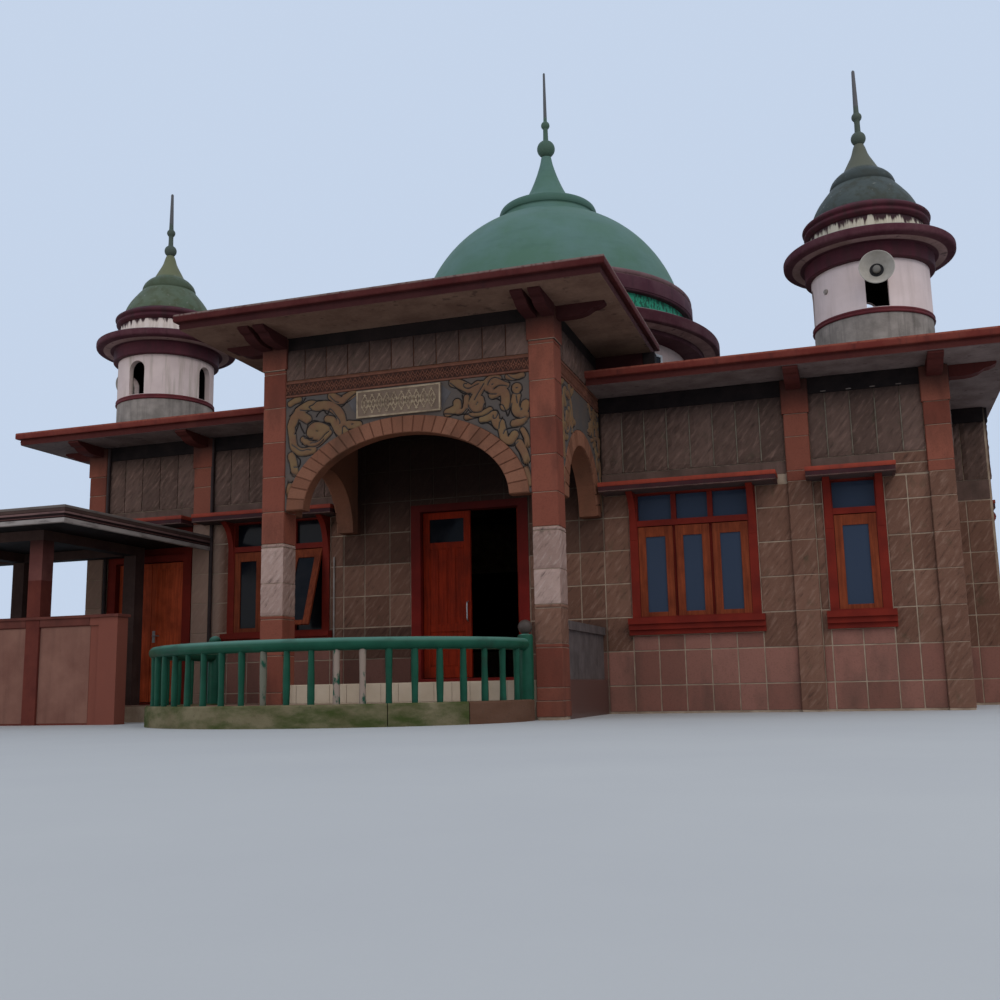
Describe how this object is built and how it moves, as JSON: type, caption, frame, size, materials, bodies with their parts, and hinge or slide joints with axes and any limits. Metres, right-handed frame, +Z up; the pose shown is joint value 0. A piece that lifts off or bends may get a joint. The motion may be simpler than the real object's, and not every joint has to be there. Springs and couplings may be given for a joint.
{
  "type": "mosque building",
  "caption": "Single-storey hollow mosque building with a domed roof, corner turrets, an arched entrance portico, hinged doors, a railed curved terrace and an open side pavilion.",
  "frame": {"origin": "on the ground under the main dome's axis, at the underside of the hall floor", "axes": "+X to the right of the facade, +Y from the facade to the rear, +Z up"},
  "size_m": [15.68, 13.02, 10.96],
  "materials": {
    "wall_stone": "square stone tiles, matte",
    "red_stone": "terracotta tiles, matte",
    "pink_plaster": "weathered plaster",
    "maroon_paint": "painted concrete",
    "concrete": "stained concrete",
    "roof_paint": "worn paint on concrete",
    "dome_green": "satin paint with streaks",
    "rail_green": "gloss paint on cast balusters",
    "door_wood": "varnished boards",
    "frame_red": "painted wood",
    "window_glass": "dark reflecting glass",
    "floor_tile": "ceramic floor tiles",
    "horn_metal": "weathered grey enamel"
  },
  "bodies": {
    "building": {"hall_floor": "floor_tile", "side_entry_floor": "floor_tile", "front_wall_left_end": "wall_stone", "front_wall_over_side_door": "wall_stone", "front_wall_left": "wall_stone", "front_wall_over_main_door": "wall_stone", "front_wall_right": "wall_stone", "left_side_wall": "wall_stone", "right_side_wall": "wall_stone", "rear_wall": "wall_stone", "window_left_frame": "frame_red", "window_left_glass": "window_glass", "window_right_frame": "frame_red", "window_right_glass": "window_glass", "window_far_right_frame": "frame_red", "window_far_right_glass": "window_glass", "left_side_glass": "window_glass", "right_side_glass": "window_glass", "rear_glass": "window_glass", "main_door_frame": "frame_red", "side_door_frame": "frame_red", "hall_roof": "roof_paint", "portico_column_left": "red_stone", "portico_column_right": "red_stone", "portico_arch": "wall_stone", "portico_plaque": "concrete", "portico_side_arch_left": "wall_stone", "portico_side_arch_right": "wall_stone", "portico_roof": "roof_paint", "porch_floor": "floor_tile", "porch_side_wall": "concrete", "terrace_floor": "floor_tile", "terrace_kerb": "concrete", "terrace_railing": "rail_green", "dome_drum": "pink_plaster", "dome_canopy": "maroon_paint", "dome_band": "dome_green", "dome_shell": "dome_green", "turret_left_tower": "pink_plaster", "turret_left_canopy": "maroon_paint", "turret_left_dome": "dome_green", "turret_right_tower": "pink_plaster", "turret_right_canopy": "maroon_paint", "turret_right_dome": "dome_green", "horn_left_side": "horn_metal", "horn_right_front": "horn_metal", "horn_right_side": "horn_metal", "pavilion_roof": "concrete", "pavilion_low_wall": "red_stone"},
    "main_left_leaf": {"main_door_left": "door_wood"},
    "main_right_leaf": {"main_door_right": "door_wood"},
    "side_left_leaf": {"side_door_left": "door_wood"},
    "side_right_leaf": {"side_door_right": "door_wood"}
  },
  "joints": [
    {"name": "main_left_hinge", "type": "hinge", "parent": "building", "child": "main_left_leaf", "pos_m": [-0.642, -4.17, 0.46], "axis": [0, 0, 1], "range_deg": [0, 90]},
    {"name": "main_right_hinge", "type": "hinge", "parent": "building", "child": "main_right_leaf", "pos_m": [0.642, -4.17, 0.46], "axis": [0, 0, 1], "range_deg": [-6, 84]},
    {"name": "side_left_hinge", "type": "hinge", "parent": "building", "child": "side_left_leaf", "pos_m": [-5.232, -4.17, 0.22], "axis": [0, 0, 1], "range_deg": [0, 90]},
    {"name": "side_right_hinge", "type": "hinge", "parent": "building", "child": "side_right_leaf", "pos_m": [-4.158, -4.17, 0.22], "axis": [0, 0, 1], "range_deg": [-90, 0]}
  ]
}
